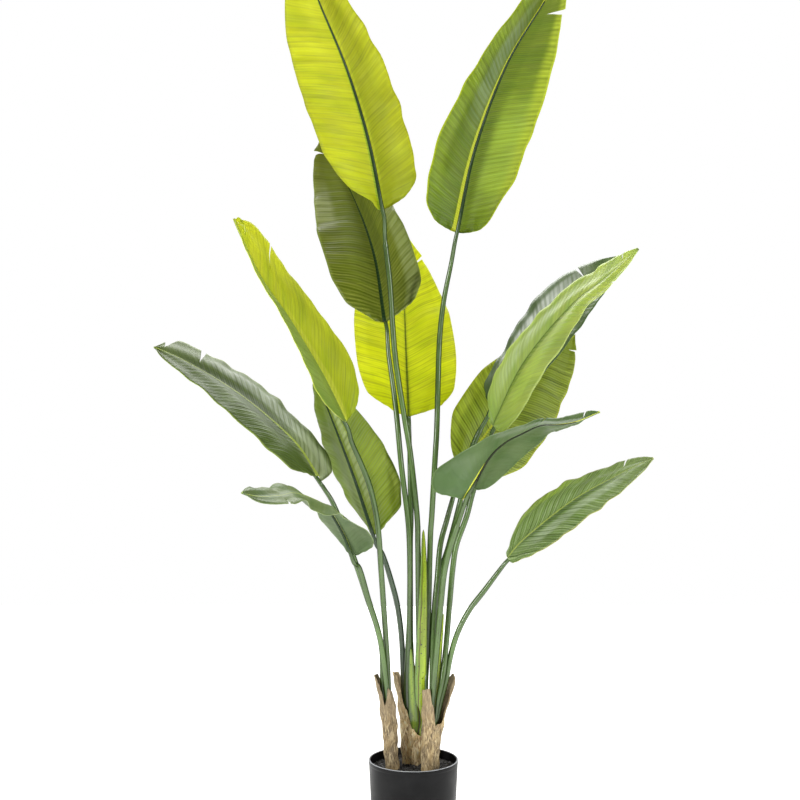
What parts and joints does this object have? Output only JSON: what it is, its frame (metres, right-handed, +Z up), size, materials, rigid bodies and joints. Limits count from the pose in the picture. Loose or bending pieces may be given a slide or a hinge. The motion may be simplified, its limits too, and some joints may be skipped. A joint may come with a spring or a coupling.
{
  "type": "potted travelers palm",
  "caption": "Artificial traveller's palm with long paddle-shaped leaves on slim arching stems, rising from bark trunk pieces in a plain black pot.",
  "frame": {"origin": "centre of the pot's underside, on the floor", "axes": "+Z up along the pot's axis, -Y towards the front of the plant, +X to the viewer's right"},
  "size_m": [0.9763, 0.7804, 1.7462],
  "materials": {
    "pot_plastic": "satin black moulded tub",
    "soil_black": "rough black granules",
    "bark": "rough tan and brown moulded bark",
    "stem_green": "satin dark green, finely fluted",
    "shoot_green": "satin bright yellow-green",
    "leaf_bright": "satin yellow-green, light shines through it",
    "leaf_green": "satin mid green with fine side veins",
    "leaf_dark": "glossy dark green upper side with side veins",
    "leaf_grey": "matt grey-green underside"
  },
  "bodies": {
    "root": {"pot": "pot_plastic", "soil": "soil_black", "trunk_left": "bark", "trunk_middle": "bark", "trunk_right": "bark", "shoot_tall": "shoot_green", "sheath_middle": "shoot_green", "sheath_right": "shoot_green", "leaf_top_left": "leaf_bright", "leaf_top_right": "leaf_green", "leaf_centre_dark": "leaf_dark", "leaf_centre_bright": "leaf_bright", "leaf_left_bright": "leaf_bright", "leaf_left_low": "leaf_dark", "leaf_left_inner": "leaf_green", "leaf_left_arching": "leaf_grey", "leaf_right_front": "leaf_green", "leaf_right_behind": "leaf_dark", "leaf_right_broad": "leaf_green", "leaf_right_drooping": "leaf_grey", "leaf_right_low": "leaf_dark", "stem_top_left": "stem_green", "stem_top_right": "stem_green", "stem_centre_dark": "stem_green", "stem_centre_bright": "stem_green", "stem_left_bright": "stem_green", "stem_left_low": "stem_green", "stem_left_inner": "stem_green", "stem_left_arching": "stem_green", "stem_right_front": "stem_green", "stem_right_behind": "stem_green", "stem_right_broad": "stem_green", "stem_right_drooping": "stem_green", "stem_right_low": "stem_green"}
  },
  "joints": []
}
